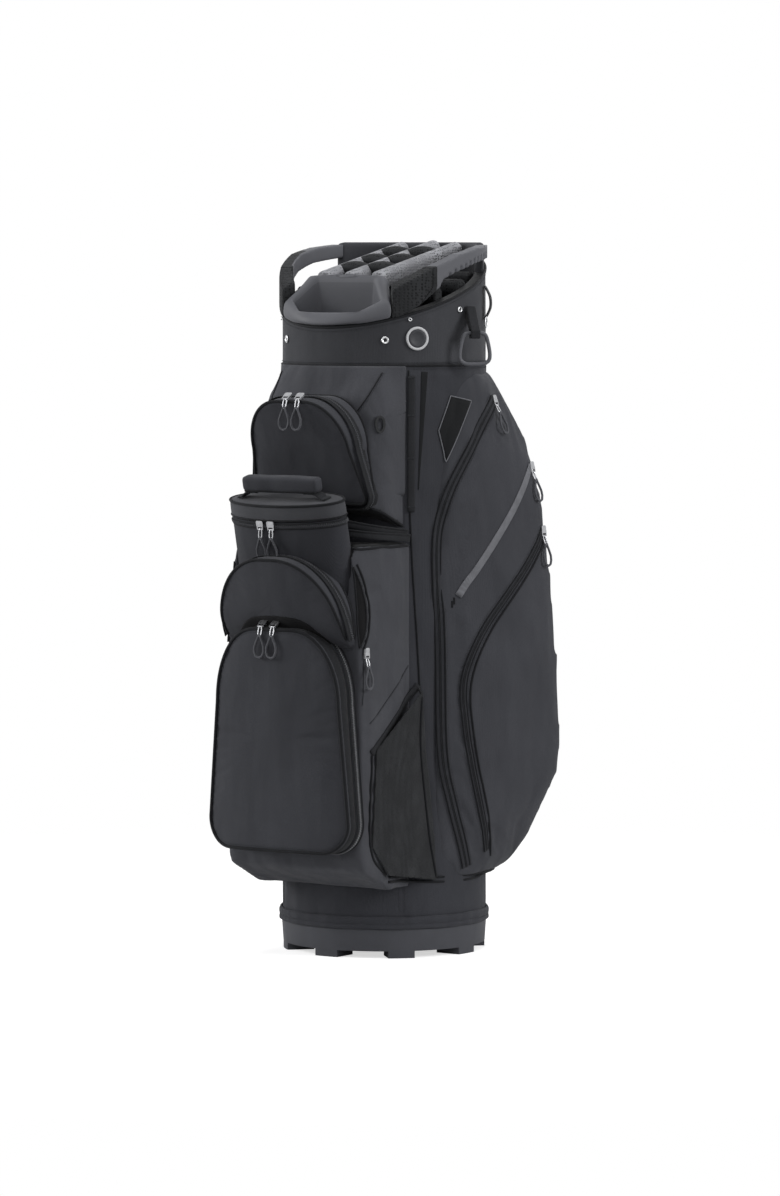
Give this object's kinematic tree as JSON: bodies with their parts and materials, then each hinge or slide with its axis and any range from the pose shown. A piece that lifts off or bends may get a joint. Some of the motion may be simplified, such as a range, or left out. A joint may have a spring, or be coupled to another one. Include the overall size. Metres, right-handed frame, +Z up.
{
  "type": "golf cart bag",
  "caption": "Upright golf bag with a slatted club divider, putter well, lift handles, arched front pockets, an insulated cooler and tall side pockets on a round moulded base.",
  "frame": {"origin": "on the floor, under the axis of the round tube", "axes": "+Z up along the tube, -Y toward the front pockets, +X to the side with the towel ring"},
  "size_m": [0.3864, 0.4248, 0.9089],
  "materials": {
    "shell_fabric": "matt coated woven polyester",
    "cooler_fabric": "matt coated woven polyester over foam",
    "lining": "thin plain-woven lining",
    "webbing_black": "ribbed webbing",
    "mesh_dark": "padded spacer mesh",
    "mesh_grey": "padded spacer mesh",
    "pocket_mesh": "open stretch mesh",
    "moulded_grey": "fine-textured moulding",
    "moulded_black": "fine-textured moulding",
    "rod_plastic": "extruded tube",
    "zip_metal": "nickel-plated die casting",
    "pull_rubber": "soft moulded loop",
    "rivet_chrome": "plated",
    "badge_face": "satin plain disc"
  },
  "bodies": {
    "bag": {"base_cup": "moulded_grey", "cooler_cup": "cooler_fabric", "cord_ports": "moulded_black", "cross_rails": "mesh_dark", "cuff": "shell_fabric", "cuff_rivets": "rivet_chrome", "divider_sheets": "lining", "front_body": "shell_fabric", "hem_band": "webbing_black", "left_handle": "moulded_grey", "left_handle_pad": "mesh_dark", "left_mesh_pocket": "pocket_mesh", "left_side_pocket": "shell_fabric", "long_rails": "mesh_grey", "lower_pocket_frame": "shell_fabric", "mid_pocket": "shell_fabric", "putter_well": "moulded_grey", "rear_guard": "moulded_grey", "right_handle": "moulded_grey", "right_handle_pad": "mesh_dark", "right_mesh_pocket": "pocket_mesh", "right_side_pocket": "shell_fabric", "round_badge": "badge_face", "shoulder_strap": "webbing_black", "stay_rods": "rod_plastic", "strap_anchors": "moulded_black", "strap_strips": "webbing_black", "top_frame": "moulded_black", "towel_tab": "webbing_black", "tube_back": "shell_fabric", "tube_front": "shell_fabric", "tube_left": "shell_fabric", "tube_right": "shell_fabric", "upper_body": "shell_fabric", "upper_pocket": "shell_fabric"},
    "lower_flap": {"lower_pocket_flap": "shell_fabric"},
    "lid": {"cooler_lid": "cooler_fabric", "cooler_handle": "cooler_fabric"},
    "ring": {"towel_ring": "moulded_grey"},
    "upper_zip_left_slider": {"upper_zip_left_slider": "zip_metal"},
    "upper_zip_left_pull": {"upper_zip_left_pull": "pull_rubber"},
    "upper_zip_right_slider": {"upper_zip_right_slider": "zip_metal"},
    "upper_zip_right_pull": {"upper_zip_right_pull": "pull_rubber"},
    "lower_zip_left_slider": {"lower_zip_left_slider": "zip_metal"},
    "lower_zip_left_pull": {"lower_zip_left_pull": "pull_rubber"},
    "lower_zip_right_slider": {"lower_zip_right_slider": "zip_metal"},
    "lower_zip_right_pull": {"lower_zip_right_pull": "pull_rubber"},
    "cooler_zip_left_slider": {"cooler_zip_left_slider": "zip_metal"},
    "cooler_zip_left_pull": {"cooler_zip_left_pull": "pull_rubber"},
    "cooler_zip_right_slider": {"cooler_zip_right_slider": "zip_metal"},
    "cooler_zip_right_pull": {"cooler_zip_right_pull": "pull_rubber"},
    "gusset_zip_slider": {"gusset_zip_slider": "zip_metal"},
    "gusset_zip_pull": {"gusset_zip_pull": "pull_rubber"},
    "side_zip_front_slider": {"side_zip_front_slider": "zip_metal"},
    "side_zip_front_pull": {"side_zip_front_pull": "pull_rubber"},
    "side_zip_middle_slider": {"side_zip_middle_slider": "zip_metal"},
    "side_zip_middle_pull": {"side_zip_middle_pull": "pull_rubber"},
    "side_zip_rear_slider": {"side_zip_rear_slider": "zip_metal"},
    "side_zip_rear_pull": {"side_zip_rear_pull": "pull_rubber"}
  },
  "joints": [
    {"name": "lower_flap_hinge", "type": "hinge", "parent": "bag", "child": "lower_flap", "pos_m": [0, -0.214, 0.1425], "axis": [1, 0, 0], "range_deg": [0, 80]},
    {"name": "cooler_lid_hinge", "type": "hinge", "parent": "bag", "child": "lid", "pos_m": [0, -0.17885, 0.59531], "axis": [-1, 0, 0], "range_deg": [0, 48]},
    {"name": "towel_ring_hinge", "type": "hinge", "parent": "bag", "child": "ring", "pos_m": [0.1535, -0.0189, 0.7935], "axis": [-0.682, -0.7314, 0], "range_deg": [0, 100]},
    {"name": "upper_zip_left_travel", "type": "hinge", "parent": "bag", "child": "upper_zip_left_slider", "pos_m": [-0.012, -0.18714, 0.65368], "axis": [0, -0.9397, -0.342], "range_deg": [0, 25]},
    {"name": "upper_zip_left_pull_hinge", "type": "hinge", "parent": "upper_zip_left_slider", "child": "upper_zip_left_pull", "pos_m": [-0.004, -0.21009, 0.7126], "axis": [-1, 0, 0], "range_deg": [0, 90]},
    {"name": "upper_zip_right_travel", "type": "hinge", "parent": "bag", "child": "upper_zip_right_slider", "pos_m": [0.012, -0.18714, 0.65368], "axis": [0, 0.9397, 0.342], "range_deg": [0, 40]},
    {"name": "upper_zip_right_pull_hinge", "type": "hinge", "parent": "upper_zip_right_slider", "child": "upper_zip_right_pull", "pos_m": [0.015, -0.21, 0.7126], "axis": [-1, 0, 0], "range_deg": [0, 90]},
    {"name": "lower_zip_left_travel", "type": "slide", "parent": "lower_flap", "child": "lower_zip_left_slider", "axis": [-1, 0, 0], "range_m": [0, 0.03]},
    {"name": "lower_zip_left_pull_hinge", "type": "hinge", "parent": "lower_zip_left_slider", "child": "lower_zip_left_pull", "pos_m": [-0.017, -0.24577, 0.4276], "axis": [-1, 0, 0], "range_deg": [0, 90]},
    {"name": "lower_zip_right_travel", "type": "slide", "parent": "lower_flap", "child": "lower_zip_right_slider", "axis": [1, 0, 0], "range_m": [0, 0.042]},
    {"name": "lower_zip_right_pull_hinge", "type": "hinge", "parent": "lower_zip_right_slider", "child": "lower_zip_right_pull", "pos_m": [0.002, -0.2461, 0.4276], "axis": [-1, 0, 0], "range_deg": [0, 90]},
    {"name": "cooler_zip_left_travel", "type": "hinge", "parent": "bag", "child": "cooler_zip_left_slider", "pos_m": [0, -0.04097, 0.60456], "axis": [0, 0.225, -0.9744], "range_deg": [0, 9]},
    {"name": "cooler_zip_left_pull_hinge", "type": "hinge", "parent": "cooler_zip_left_slider", "child": "cooler_zip_left_pull", "pos_m": [-0.02016, -0.24125, 0.5495], "axis": [-0.9953, 0.094, 0.0217], "range_deg": [0, 90]},
    {"name": "cooler_zip_right_travel", "type": "hinge", "parent": "bag", "child": "cooler_zip_right_slider", "pos_m": [0, -0.04097, 0.60456], "axis": [0, -0.225, 0.9744], "range_deg": [0, 15]},
    {"name": "cooler_zip_right_pull_hinge", "type": "hinge", "parent": "cooler_zip_right_slider", "child": "cooler_zip_right_pull", "pos_m": [-0.00302, -0.24219, 0.54928], "axis": [-0.9999, 0.0142, 0.0033], "range_deg": [0, 90]},
    {"name": "gusset_zip_travel", "type": "slide", "parent": "bag", "child": "gusset_zip_slider", "axis": [0, 0, 1], "range_m": [-0.09, 0.03]},
    {"name": "gusset_zip_pull_hinge", "type": "hinge", "parent": "gusset_zip_slider", "child": "gusset_zip_pull", "pos_m": [0.1069, -0.19, 0.3894], "axis": [0, -1, 0], "range_deg": [0, 90]},
    {"name": "side_zip_front_travel", "type": "hinge", "parent": "bag", "child": "side_zip_front_slider", "pos_m": [-0.087, 0.0095, 0.63792], "axis": [0.0376, 0.8311, -0.5549], "range_deg": [0, 30.18]},
    {"name": "side_zip_front_pull_hinge", "type": "hinge", "parent": "side_zip_front_slider", "child": "side_zip_front_pull", "pos_m": [0.14253, 0.04639, 0.70122], "axis": [0.1026, -0.9947, 0], "range_deg": [0, 90]},
    {"name": "side_zip_middle_travel", "type": "hinge", "parent": "bag", "child": "side_zip_middle_slider", "pos_m": [-0.19223, -0.02254, 0.61394], "axis": [-0.2461, 0.7791, -0.5766], "range_deg": [0, 31.98]},
    {"name": "side_zip_middle_pull_hinge", "type": "hinge", "parent": "side_zip_middle_slider", "child": "side_zip_middle_pull", "pos_m": [0.16569, 0.09608, 0.61489], "axis": [0.025, -0.9997, 0], "range_deg": [0, 90]},
    {"name": "side_zip_rear_travel", "type": "hinge", "parent": "bag", "child": "side_zip_rear_slider", "pos_m": [-0.28841, 0.09831, 0.48594], "axis": [0.0663, 0.7566, -0.6505], "range_deg": [0, 13.51]},
    {"name": "side_zip_rear_pull_hinge", "type": "hinge", "parent": "side_zip_rear_slider", "child": "side_zip_rear_pull", "pos_m": [0.17771, 0.10394, 0.5326], "axis": [-0.0258, -0.9997, 0], "range_deg": [0, 90]}
  ]
}
